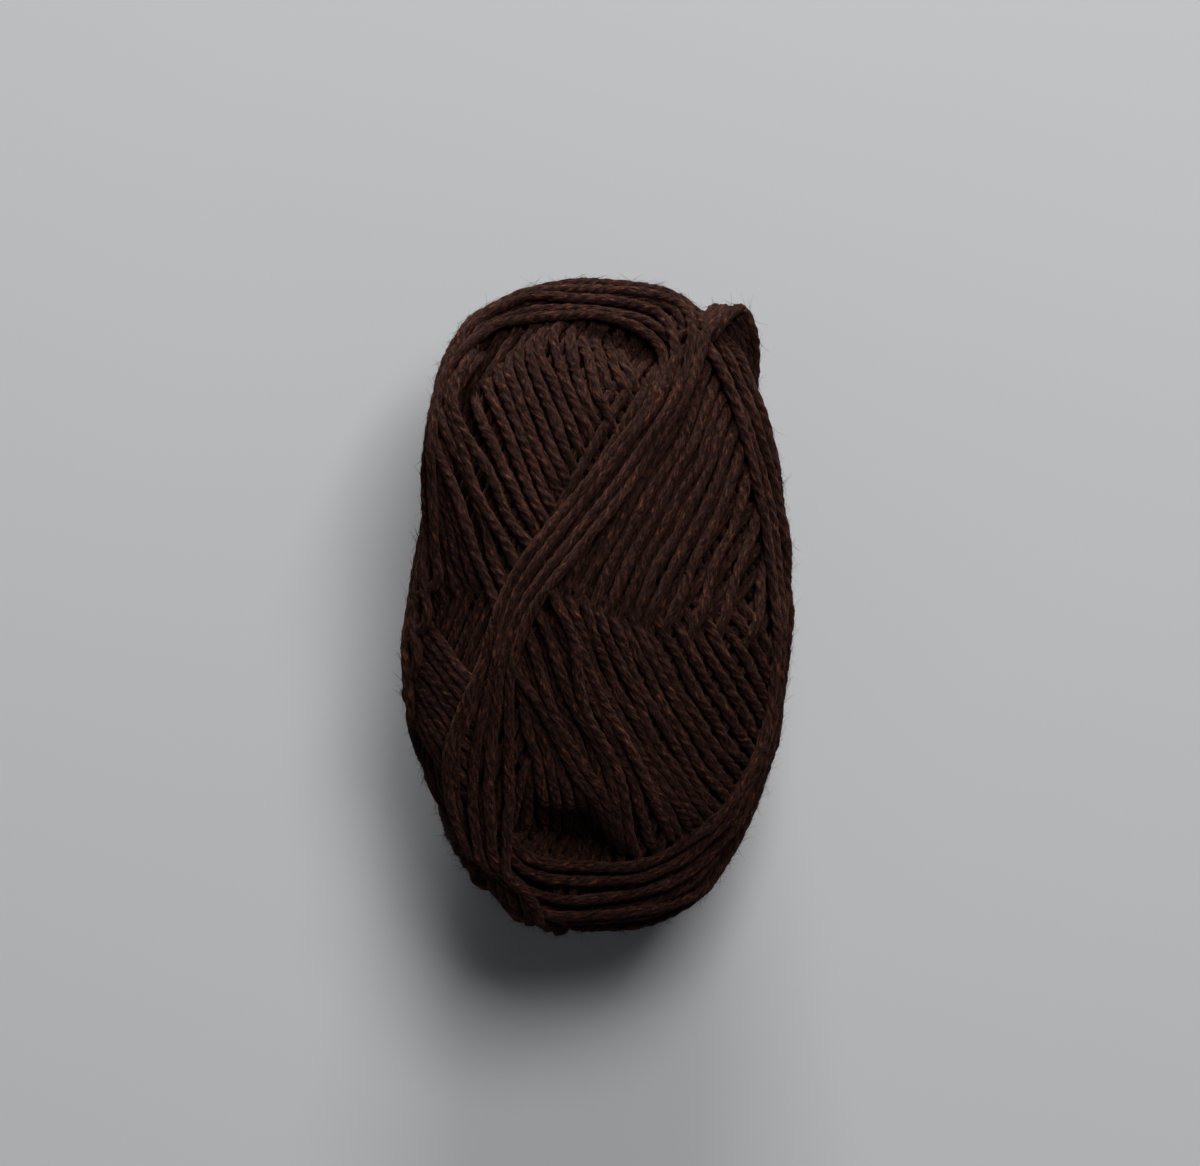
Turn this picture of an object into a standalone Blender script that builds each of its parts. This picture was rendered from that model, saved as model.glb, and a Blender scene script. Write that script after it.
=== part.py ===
"""Pull skein of brown wool yarn, lying on its side.

The skein is one soft wound body. Its rest surface is at z = 0, its length runs along Y and its
width along X. Every size is in millimetres until a point is handed to Blender, which takes metres.
"""

from typing import NamedTuple

import bmesh
import bpy
import numpy as np
from mathutils import Color, Vector

MM = 0.001

# Driving sizes of the skein, in millimetres
LENGTH = 130.4
AXIS_HEIGHT = 29.0
SECTION_POWER = 2.25
VALLEY_DEPTH = 1.6
REST_FADE = 4.5

# Facets round the skein and along it
SEGMENTS_ROUND = 84
SEGMENTS_ALONG = 66

WOOL_COLOUR = Color((0.040, 0.019, 0.014))
WOOL_ROUGHNESS = 0.95


class Section(NamedTuple):
    """Reach of the skein at one station of its length: left and right of the axis, and in height."""

    y: float
    left: float
    right: float
    low: float
    high: float


class Winding(NamedTuple):
    """Groups of turns wound side by side, each a closed loop that lies in a plane.

    The middle of the groups passes through a place. Heading is the turns' direction in plan, in
    degrees from +X towards +Y, and lean tips their plane from upright. Level is how far the
    winding lies above the turns under it, and rise how far each group's ridge stands above that.
    The winding shows round its centre, and dives under the others past its reach.
    """

    name: str
    through: tuple[float, float, float]
    heading: float
    lean: float
    groups: int
    pitch: float
    level: float
    rise: float
    centre: tuple[float, float, float]
    reach: float


class Hollow(NamedTuple):
    """A dent where the turns bend round one end of the skein and leave a mouth."""

    name: str
    x: float
    y: float
    reach_x: float
    reach_y: float
    depth: float


SECTIONS = [
    Section(y=-61.7, left=15.6, right=15.8, low=17.0, high=38.0),
    Section(y=-57.7, left=20.3, right=19.8, low=13.0, high=43.5),
    Section(y=-53.8, left=24.2, right=24.2, low=9.8, high=48.0),
    Section(y=-45.9, left=29.0, right=30.4, low=5.6, high=53.5),
    Section(y=-38.0, left=33.2, right=33.1, low=2.9, high=56.5),
    Section(y=-22.3, left=37.0, right=36.8, low=0.3, high=59.0),
    Section(y=-6.5, left=37.0, right=38.6, low=-1.1, high=59.8),
    Section(y=9.3, left=35.8, right=37.0, low=-1.1, high=59.6),
    Section(y=25.0, left=33.2, right=36.0, low=0.5, high=58.6),
    Section(y=40.8, left=30.7, right=32.7, low=3.6, high=55.8),
    Section(y=52.6, left=27.2, right=28.6, low=9.0, high=50.5),
    Section(y=60.5, left=18.8, right=19.6, low=17.0, high=42.5),
]

WINDINGS = [
    Winding("right slope", (16, 20, 58), 68, 25, 7, 8.5, 0.0, 2.0, (24, 24, 50), 34),
    Winding("lower right", (14, -24, 58), 122, -25, 9, 8.5, 0.1, 2.0, (18, -28, 48), 36),
    Winding("left flank", (-28, -18, 50), 126, 30, 7, 8.0, 0.0, 1.9, (-34, -14, 36), 32),
    Winding("window", (-9, 36, 57), 112, 20, 5, 8.0, 0.0, 1.7, (-10, 36, 56), 26),
    Winding("lower middle", (-3, -18, 60), 104, 0, 2, 8.0, 0.7, 1.8, (-2, -20, 60), 32),
    Winding("left strands", (-22, 22, 56), 99, 8, 2, 7.5, 1.4, 1.8, (-24, 24, 52), 44),
    Winding("lower left fan", (-20, -30, 54), 84, 0, 2, 8.0, 1.1, 1.8, (-20, -36, 50), 36),
    Winding("main diagonal", (2, 27, 59), 59, 6, 2, 8.0, 1.9, 1.8, (-2, 22, 58), 48),
    Winding("long loop", (0, 0, 42.5), 61, 83.5, 2, 7.5, 1.5, 1.8, (2, 0, 40), 120),
    Winding("under slope", (0, 10, 4), 35, 25, 13, 8.5, 0.3, 2.0, (6, 22, 4), 52),
    Winding("under cross", (0, -20, 4), 140, -25, 11, 8.5, 0.2, 2.0, (-8, -30, 6), 48),
]

HOLLOWS = [
    Hollow("top mouth", x=8.5, y=51.5, reach_x=9.0, reach_y=3.6, depth=4.5),
    Hollow("bottom mouth", x=-6.0, y=-45.5, reach_x=9.5, reach_y=5.0, depth=5.5),
]


def taper(y: np.ndarray) -> np.ndarray:
    """Return how full a plain rounded body of the skein's length is at station y, from 0 to 1."""
    return np.sqrt(np.maximum(0.0, 1.0 - (2.0 * y / LENGTH) ** 2))


def reach(y: np.ndarray, column: str, offset: float) -> np.ndarray:
    """Return how far the body reaches one way at station y, tapering to nothing at both ends."""
    stations = np.array([section.y for section in SECTIONS])
    sizes = np.array([getattr(section, column) for section in SECTIONS])
    fullness = np.abs(sizes - offset) / taper(stations)
    return np.interp(y, stations, fullness) * taper(y)


def wound_body(directions: np.ndarray) -> np.ndarray:
    """Return the points of the smooth wound body in directions of the unit sphere."""
    y = 0.5 * LENGTH * directions[:, 1]
    round_part = np.maximum(np.hypot(directions[:, 0], directions[:, 2]), 1e-9)
    across = directions[:, 0] / round_part
    upward = directions[:, 2] / round_part
    # A section is squared off a little from a plain ellipse
    x_share = np.abs(across) ** (2.0 / SECTION_POWER) * np.sign(across)
    z_share = np.abs(upward) ** (2.0 / SECTION_POWER) * np.sign(upward)
    x_reach = np.where(across > 0, reach(y, "right", 0.0), reach(y, "left", 0.0))
    z_reach = np.where(upward > 0, reach(y, "high", AXIS_HEIGHT), reach(y, "low", AXIS_HEIGHT))
    return np.stack([x_share * x_reach, y, AXIS_HEIGHT + z_share * z_reach], axis=1)


def smooth_step(share: np.ndarray) -> np.ndarray:
    """Return a soft step from 0 to 1 as share runs from 0 to 1."""
    share = np.clip(share, 0.0, 1.0)
    return share * share * (3.0 - 2.0 * share)


def winding_relief(points: np.ndarray, winding: Winding) -> np.ndarray:
    """Return how far one winding stands out over each point of the body."""
    heading, lean = np.radians(winding.heading), np.radians(winding.lean)
    normal = (-np.sin(heading) * np.cos(lean), np.cos(heading) * np.cos(lean), np.sin(lean))
    offset = (points - winding.through) @ np.array(normal) / winding.pitch
    half = 0.5 * (winding.groups - 1)
    group = np.clip(np.round(offset + half), 0, winding.groups - 1) - half
    aside = 2.0 * np.abs(offset - group)
    ridge = winding.rise * np.maximum(0.0, 1.0 - aside**2)
    bed = winding.level * smooth_step(1.8 - aside)
    away = np.linalg.norm(points - winding.centre, axis=1) / winding.reach
    return (ridge + bed) * smooth_step(2.2 - 1.7 * away)


def hollow_relief(points: np.ndarray, hollow: Hollow) -> np.ndarray:
    """Return how far one end's mouth sinks in at each point of the body's upper side."""
    share_x = (points[:, 0] - hollow.x) / hollow.reach_x
    share_y = (points[:, 1] - hollow.y) / hollow.reach_y
    dent = hollow.depth * np.exp(-(share_x**2) - share_y**2)
    return np.where(points[:, 2] > AXIS_HEIGHT, dent, 0.0)


def build_skein() -> bpy.types.Object:
    """Shape a sphere into the wound body, raise its main turns and flatten its rest."""
    mesh = bpy.data.meshes.new("skein")
    shape = bmesh.new()
    bmesh.ops.create_uvsphere(shape, u_segments=SEGMENTS_ROUND, v_segments=SEGMENTS_ALONG, radius=1.0)
    # The sphere's poles turn to the skein's two ends
    directions = np.array([(v.co.x, v.co.z, -v.co.y) for v in shape.verts])
    points = wound_body(directions)
    for vertex, point in zip(shape.verts, points):
        vertex.co = Vector(point)
    shape.normal_update()
    normals = np.array([vertex.normal for vertex in shape.verts])
    relief = np.max([winding_relief(points, winding) for winding in WINDINGS], axis=0)
    relief -= sum(hollow_relief(points, hollow) for hollow in HOLLOWS)
    # The skein's own weight presses the ridges flat where it rests
    relief = (relief - VALLEY_DEPTH) * smooth_step(points[:, 2] / REST_FADE)
    raised = points + normals * relief[:, None]
    raised[:, 2] = np.maximum(raised[:, 2], 0.0)
    raised[:, :2] -= 0.5 * (raised[:, :2].max(axis=0) + raised[:, :2].min(axis=0))
    for vertex, point in zip(shape.verts, raised):
        vertex.co = Vector(point) * MM
    shape.to_mesh(mesh)
    shape.free()
    mesh.shade_smooth()
    return bpy.data.objects.new("skein", mesh)


def wool_material() -> bpy.types.Material:
    """Return the matt brown wool."""
    material = bpy.data.materials.new("wool")
    material.use_nodes = True
    shader = material.node_tree.nodes["Principled BSDF"]
    shader.inputs["Base Color"].default_value = (*WOOL_COLOUR, 1.0)
    shader.inputs["Roughness"].default_value = WOOL_ROUGHNESS
    shader.inputs["Metallic"].default_value = 0.0
    return material


def main() -> None:
    """Clear the scene and build the skein in a collection of its own."""
    for leftover in list(bpy.data.objects):
        bpy.data.objects.remove(leftover)
    collection = bpy.data.collections.new("wool_yarn_skein")
    bpy.context.scene.collection.children.link(collection)
    skein = build_skein()
    skein.data.materials.append(wool_material())
    collection.objects.link(skein)


if __name__ == "__main__":
    main()
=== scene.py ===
"""A pull skein of brown wool yarn as it looks: its turns, its loose fibres, its wool and a studio.

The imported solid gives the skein's wound form. The turns are laid over that form one by one, each
on the turns under it and pulled taut between them, and become plied yarn. Sizes are in metres,
but the tables of turns are in millimetres and degrees, with places of the plan, +X to the right
and +Y up the photograph.
"""

from __future__ import annotations

import logging
import math
from dataclasses import dataclass, field
from enum import Enum

import bmesh
import bpy
import numpy as np
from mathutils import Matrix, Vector
from mathutils.bvhtree import BVHTree
from mathutils.kdtree import KDTree

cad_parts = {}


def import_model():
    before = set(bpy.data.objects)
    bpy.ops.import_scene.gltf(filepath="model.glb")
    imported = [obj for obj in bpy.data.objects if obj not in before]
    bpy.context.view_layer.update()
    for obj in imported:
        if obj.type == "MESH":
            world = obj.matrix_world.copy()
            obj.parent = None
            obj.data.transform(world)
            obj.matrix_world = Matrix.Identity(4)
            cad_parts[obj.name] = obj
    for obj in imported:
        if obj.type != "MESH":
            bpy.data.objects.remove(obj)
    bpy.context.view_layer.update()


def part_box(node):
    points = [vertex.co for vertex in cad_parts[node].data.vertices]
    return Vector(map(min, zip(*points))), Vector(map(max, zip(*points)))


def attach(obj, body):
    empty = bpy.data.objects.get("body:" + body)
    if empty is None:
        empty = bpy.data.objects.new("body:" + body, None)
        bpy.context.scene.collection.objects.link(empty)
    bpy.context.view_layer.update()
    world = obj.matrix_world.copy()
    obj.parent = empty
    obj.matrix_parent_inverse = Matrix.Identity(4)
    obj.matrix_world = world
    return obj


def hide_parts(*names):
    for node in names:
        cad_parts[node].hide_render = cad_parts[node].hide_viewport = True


LOG = logging.getLogger("skein")

MM = 0.001
TAU = 2.0 * math.pi
NODE = "skein"
BODY = "root"
OPENNESS = "openness"

# The yarn's length to one unit of its UV map, and how far apart the turns' starts may lie in it
UV_LENGTH = 10.0 * MM
UV_SPREAD = 50.0

# How much a turn's outward direction counts beside its length, where its points are spaced
OUTWARD_WEIGHT = 20

PHOTO_WIDTH = 1200
PHOTO_MM_PER_PIXEL = 0.197
SENSOR_WIDTH = 36.0

Place = tuple[float, float]
Span = tuple[float, float]
Spot = tuple[float, float, float]
Colour = tuple[float, float, float]


class Side(Enum):
    """The side of the skein that a place of the plan lies on."""

    OVER = 1
    UNDER = -1


class Make(Enum):
    """How finely a turn's yarn is made: sides round it and millimetres between its rings."""

    HIDDEN = (9, 1.5)
    PLAIN = (12, 1.0)
    FINE = (15, 0.75)


class Layer(Enum):
    """The layers of turns from the inside out, each a piece of its own with this name."""

    DEEP = "deep_turns"
    ROUND = "round_turns"
    FACE = "face_turns"
    TOP = "top_turns"


@dataclass(frozen=True)
class Yarn:
    """The sizes of the plied yarn, and how closely its turns bed on one another, in shares of it."""

    radius: float = 1.1 * MM
    plies: int = 3
    ply_pitch: float = 8.6 * MM
    groove: float = 0.08
    squash: float = 0.9
    seat: float = 0.69
    own_seat: float = 0.5
    spread: float = 1.15
    unevenness: float = 0.075
    stray_twist: float = 0.8
    tufts: float = 0.045
    rounding: float = 2 * MM


@dataclass(frozen=True)
class Guide:
    """The way that a turn follows: places over the skein, with those under it before and after."""

    over: tuple[Place, ...]
    lead: tuple[Place, ...] = ()
    tail: tuple[Place, ...] = ()


@dataclass(frozen=True)
class Swathe:
    """Turns side by side, spread evenly from the first of some guides to the last.

    A plaited swathe is laid turn by turn with the next one, so that their ends pass under each other.
    An open swathe's turns sink under the others over their last stretch, the dive.
    """

    name: str
    turns: int
    guides: tuple[Guide, ...]
    closed: bool = False
    wander: float = 0.35
    lift: float = 0.0
    dive: float = 9.0
    ragged: float = 3.0
    plaited: bool = False
    layer: Layer = Layer.FACE


@dataclass(frozen=True)
class Family:
    """Turns round the whole skein, each in a plane, side by side at one pitch."""

    name: str
    layer: Layer
    heading: float
    lean: float
    pitch: float
    make: Make
    wander: float = 0.5


FAMILIES = (
    Family("deep turns", Layer.DEEP, heading=118.0, lean=18.0, pitch=2.5, make=Make.HIDDEN),
    Family("round turns", Layer.ROUND, heading=62.0, lean=-14.0, pitch=2.3, make=Make.PLAIN),
)

SWATHES = (
    Swathe("window", 13, (
        Guide(((-23.5, 47.5), (-25, 43.5), (-22.5, 36), (-17.5, 25.5), (-12.5, 15.5), (-9, 9))),
        Guide(((-7.5, 57.5), (-10.5, 54.5), (-12, 51.5), (-10, 46.5), (-6, 37), (-1.5, 26))),
        Guide(((6.5, 57.5), (3.5, 51.5), (5.5, 46.5), (10, 39))),
    )),
    Swathe("left side", 7, (
        Guide(((-26, 49), (-27.5, 40), (-29, 30), (-31.2, 15), (-33, 1.5), (-34.5, -8))),
        Guide(((-22, 51), (-24.5, 42), (-26.5, 29), (-26, 15), (-23, 1.5))),
    )),
    Swathe("left flank", 10, (
        Guide(((-36.5, 4), (-31, -6.5), (-23.5, -14.5), (-18, -18.5))),
        Guide(((-36.5, -20), (-31, -31), (-23.5, -44)), lead=((-35, -12),)),
    )),
    Swathe("right slope", 14, (
        Guide(((20.5, 55.5), (14.5, 41), (8.5, 30), (2.5, 20), (-2.5, 11), (-7, 1.5), (-11, -9.5))),
        Guide(((31, 45.5), (28.5, 37), (24.5, 25), (20, 15), (15, 5.5), (8, -10.5))),
        Guide(((34, 36), (36.5, 17), (37.3, 3.5), (36.5, -15))),
    ), dive=12.0, plaited=True),
    Swathe("lower right", 15, (
        Guide(((-12, 10.5), (-5, -6.5), (0.5, -18.5), (7.5, -30), (13, -39), (18, -47))),
        Guide(((4, 7), (14, -12.5), (20, -23), (27, -33), (33, -40))),
        Guide(((24, 7), (33.5, -9.5), (37.5, -22))),
    ), dive=12.0),
    Swathe("lower lobe", 3, (
        Guide((
            (28, -46.5), (23, -50.5), (19, -54), (12, -57), (4.5, -59), (-4.5, -60), (-11, -58.8),
            (-16.5, -55), (-22.5, -49), (-27.5, -42), (-31.8, -34), (-34, -26),
        )),
        Guide((
            (26.5, -48.5), (22.5, -53), (19.5, -56.8), (14.8, -60), (8, -62.2), (0, -62.7), (-8, -61.6),
            (-15, -58.3), (-21.5, -53.3), (-27.8, -46.5), (-32.5, -39), (-35.3, -30.5), (-36.5, -21),
        )),
    )),
    Swathe("lower middle", 9, (
        Guide(((-17.5, -3.5), (-15, -16.5), (-12, -29), (-10.5, -38), (-10, -44.5))),
        Guide(((-9, 5.5), (-1.5, -12.5), (6.5, -28), (12, -40), (15.5, -48.5))),
    ), dive=12.0),
    Swathe("left strands", 4, (
        Guide((
            (-27, 51), (-27, 41), (-26.5, 33), (-26, 27), (-25, 19), (-23, 9.5), (-20.5, 1.5),
            (-17.5, -6.5), (-14.5, -14.5), (-10, -22.5), (-4.5, -31), (0.5, -39), (3.5, -52),
        ), lead=((-23, 51),)),
        Guide((
            (-23, 54.5), (-23.5, 43), (-22.5, 33), (-20.5, 25), (-17.5, 18.5), (-14.5, 13), (-10.5, 6.5),
            (-7.5, 0.5), (-5, -6.5), (-3, -16.5), (1, -26), (4.5, -36), (8.5, -50),
        ), lead=((-18, 53),)),
    ), wander=0.6, layer=Layer.TOP),
    Swathe("edge and rim", 4, (
        Guide((
            (11.5, 52), (14.5, 55.8), (17.5, 57.6), (20.3, 57.4), (23.5, 54.4), (26.3, 49.6),
            (28.5, 43.5), (31.3, 36), (33.5, 26.5), (34.6, 13), (35.7, 1.5), (36.5, -10.5), (36.5, -22.5),
            (36, -34.3), (32.2, -45.5), (23.5, -53.6), (11.5, -57.4), (0.5, -59), (-8.5, -59.2),
            (-15, -56.5), (-21, -51),
        ), tail=((-25, -41), (-22, -20))),
        Guide((
            (11.8, 50.5), (14.8, 54.6), (17.5, 56.3), (19.9, 55.8), (22.6, 51.8), (25.2, 46.8),
            (27.8, 40.5), (30.5, 33), (33, 24), (34.5, 11.5), (35.3, 0.5), (35.5, -11.5), (34.7, -22),
            (32.8, -32.5), (28.3, -42.8), (20.8, -50), (10.5, -54.8), (0.5, -56.9), (-7.5, -57.2),
            (-15, -55), (-21.5, -49),
        ), tail=((-25.5, -37), (-20, -18))),
        Guide((
            (12.1, 49), (15, 53.3), (17.5, 54.8), (19.5, 53.4), (21.8, 49), (24.8, 43), (27.5, 37),
            (30, 29.5), (32, 20), (33.5, 8.5), (34.3, -1.5), (34.3, -11.5), (33.3, -20.5), (30.5, -30),
            (26, -39), (19, -46.8), (10.5, -51.6), (1.5, -53.6), (-7.5, -53.6), (-14.5, -51.8),
            (-22, -46),
        ), tail=((-26, -34), (-18, -16))),
        Guide((
            (12.4, 47.5), (15.2, 51.9), (17.5, 53.2), (19.6, 51), (22, 46.5), (25, 40), (27.8, 32),
            (30.5, 20.5), (32.5, 5.5), (33.3, -8.5), (32.3, -19.5), (29.5, -28.5), (25.3, -36.5),
            (19.2, -43.8), (11, -49), (1.5, -51.6), (-7.5, -51.4), (-14.5, -48.8), (-22.5, -42.5),
        ), tail=((-26, -30), (-16, -14))),
    ), wander=0.25, layer=Layer.TOP),
    Swathe("fan bed", 2, (
        Guide(((-21, -12), (-26.8, -27), (-27, -39), (-23.3, -51)), tail=((-19, -52),)),
        Guide(((-18.5, -10), (-21, -28), (-22.3, -43), (-20, -52.5)), tail=((-16, -54),)),
    ), wander=0.6, lift=-0.8, layer=Layer.TOP),
    Swathe("arch bed", 3, (
        Guide((
            (-26, 48), (-24, 51.5), (-21, 54.3), (-15.5, 56.8), (-8, 58), (1, 57.8), (7.5, 56.5),
            (13, 53.5), (17.5, 48.5),
        )),
        Guide((
            (-27, 48.5), (-25, 52.5), (-21.5, 56.5), (-15.5, 60), (-8.5, 61.6), (0.5, 61.6), (8.8, 61),
            (14.8, 58.8), (19, 54),
        )),
    ), layer=Layer.TOP),
    Swathe("arch and diagonal", 4, (
        Guide((
            (-30.5, 4), (-29.5, 10), (-28.4, 17), (-27.2, 25), (-26.2, 33), (-25.3, 41), (-24, 47),
            (-21.8, 51.5), (-18.5, 54.8), (-12.8, 56.5), (-6.5, 57.2), (-0.5, 56.8), (5, 55.5),
            (9.3, 53.6), (12.2, 51), (13.2, 47.7), (12, 43.3), (8.8, 37.5), (4.5, 32.6), (-1, 26.5),
            (-7, 19.5), (-12.5, 12), (-17, 3.5), (-19.8, -5.5), (-22.3, -14), (-25.3, -22),
            (-27.3, -30.5), (-27, -38.5), (-24, -46), (-17.5, -52.5),
        ), tail=((-9.5, -54), (-7, -42), (-14, -24), (-28, -8))),
        Guide((
            (-35.3, -22), (-35.5, -10), (-35.3, 3), (-33.6, 17), (-30.9, 30), (-28.8, 40.5),
            (-26.8, 48.5), (-23.6, 54.8), (-18.8, 59.9), (-12.5, 61.9), (-5.5, 62.2), (2, 61.9),
            (8.8, 61.1), (14.3, 59.3), (18.2, 56), (19.6, 51.5), (18.2, 45.5), (14.8, 38), (10, 30),
            (4.5, 21.5), (-2.5, 12.5), (-8.5, 4.5), (-13.5, -3.5), (-16, -12), (-16.8, -20), (-16.6, -28),
            (-16.9, -36), (-17, -44), (-16.2, -50.5), (-11.5, -56.5),
        ), tail=((-3, -56), (-6, -48), (-18, -40), (-30, -34))),
    ), closed=True, wander=0.5, layer=Layer.TOP),
    Swathe("corner loops", 4, (
        Guide((
            (17, 49), (19, 53.5), (21.5, 56.6), (23.8, 57.8), (25.8, 56.4), (26.8, 53.3), (27.4, 49.5),
            (28.5, 45.5), (30, 40.5),
        )),
        Guide((
            (18.5, 47), (21.3, 52), (24.3, 55.3), (27, 56), (28.5, 54), (28.3, 50.5), (29.3, 47.5),
            (30.8, 43), (32, 37),
        )),
    ), wander=0.2, lift=0.4, layer=Layer.TOP),
)


def neighbours(rows: np.ndarray, closed: bool) -> tuple[np.ndarray, np.ndarray]:
    """Return the rows before and after each row of a path.

    Args:
        rows: one row for each point of the path.
        closed: whether the path ends where it starts, or else each end is its own neighbour.

    Returns:
        The rows before, and the rows after.
    """
    if closed:
        return np.roll(rows, 1, axis=0), np.roll(rows, -1, axis=0)
    return np.concatenate([rows[:1], rows[:-1]]), np.concatenate([rows[1:], rows[-1:]])


def along(rows: np.ndarray, closed: bool, passes: int) -> np.ndarray:
    """Return rows softened along a path.

    Args:
        rows: one row for each point of the path.
        closed: whether the path ends where it starts.
        passes: how many times each point takes the mean of itself and its neighbours.

    Returns:
        The softened rows.
    """
    for _ in range(passes):
        before, after = neighbours(rows, closed)
        rows = 0.25 * before + 0.5 * rows + 0.25 * after
    return rows


def smooth_curve(knots: np.ndarray, closed: bool, steps: int = 14) -> np.ndarray:
    """Return points of a smooth curve that passes through its knots.

    Args:
        knots: one row for each knot.
        closed: whether the curve returns to its first knot.
        steps: points to each stretch between two knots.

    Returns:
        One row for each point.
    """
    if closed:
        ring = np.concatenate([knots[-1:], knots, knots[:2]])
    else:
        ring = np.concatenate([2 * knots[:1] - knots[1:2], knots, 2 * knots[-1:] - knots[-2:-1]])
    t = np.linspace(0.0, 1.0, steps, endpoint=False)[:, None]
    stretches = []
    for a, b, c, d in zip(ring[:-3], ring[1:-2], ring[2:-1], ring[3:]):
        cubic = (3 * b - a - 3 * c + d) * t**3 + (2 * a - 5 * b + 4 * c - d) * t**2 + (c - a) * t
        stretches.append(b + 0.5 * cubic)
    curve = np.concatenate(stretches)
    return curve if closed else np.concatenate([curve, knots[-1:]])


def spaced(points: np.ndarray, closed: bool, count: int) -> np.ndarray:
    """Return a path's points again, evenly spaced along it.

    Args:
        points: one row for each point.
        closed: whether the path ends where it starts.
        count: how many points to return.

    Returns:
        One row for each point, the first point first.
    """
    ring = np.concatenate([points, points[:1]]) if closed else points
    run = np.concatenate([[0.0], np.cumsum(np.linalg.norm(np.diff(ring, axis=0), axis=1))])
    stations = np.linspace(0.0, run[-1], count, endpoint=not closed)
    return np.stack([np.interp(stations, run, ring[:, axis]) for axis in range(ring.shape[1])], axis=1)


def path_length(points: np.ndarray, closed: bool) -> float:
    """Return how long a path is."""
    ring = np.concatenate([points, points[:1]]) if closed else points
    return float(np.linalg.norm(np.diff(ring, axis=0), axis=1).sum())


def unit(rows: np.ndarray) -> np.ndarray:
    """Return rows scaled to a length of one."""
    return rows / np.maximum(np.linalg.norm(rows, axis=-1, keepdims=True), 1e-12)


def slow_noise(rng: np.random.Generator, count: int, waves: int) -> np.ndarray:
    """Return a smooth random row that repeats without a step, about -1 to 1.

    Args:
        rng: the source of chance.
        count: values in the row.
        waves: the highest number of waves in it.

    Returns:
        The row.
    """
    turn = np.linspace(0.0, TAU, count, endpoint=False)
    row = np.zeros(count)
    for wave in range(1, waves + 1):
        row += rng.normal() * np.sin(wave * turn + rng.uniform(0.0, TAU)) / math.sqrt(waves)
    return row


def finder(points: np.ndarray) -> KDTree:
    """Return a tree that finds the points that are near a place.

    Args:
        points: one row for each point.

    Returns:
        The tree, with each point's row as its index.
    """
    tree = KDTree(len(points))
    for index, point in enumerate(points):
        tree.insert(point, index)
    tree.balance()
    return tree


def placed(name: str, data: bpy.types.ID) -> bpy.types.Object:
    """Return a new object of the scene.

    Args:
        name: the object's name.
        data: the mesh, lamp or camera that it shows.

    Returns:
        The object.
    """
    thing = bpy.data.objects.new(name, data)
    bpy.context.scene.collection.objects.link(thing)
    return thing


@dataclass
class Turn:
    """One laid turn: the line of its middle and the form's outward direction along it."""

    middle: np.ndarray
    outward: np.ndarray
    closed: bool
    make: Make


# The layer, the name and the turns of each group of turns
Laid = list[tuple[Layer, str, list[Turn]]]


@dataclass(frozen=True)
class Mouth:
    """A hollow in the top of one end, where the turns bend round and dive into the skein.

    Its middle and reach are in millimetres of the plan.
    """

    middle: Place
    reach: Place
    depth: float

    def sinks(self, x: float, y: float) -> float:
        """Return how far the hollow sinks the form at a place in metres."""
        share_x = (x / MM - self.middle[0]) / self.reach[0]
        share_y = (y / MM - self.middle[1]) / self.reach[1]
        return self.depth * math.exp(-(share_x**2) - share_y**2)


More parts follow.
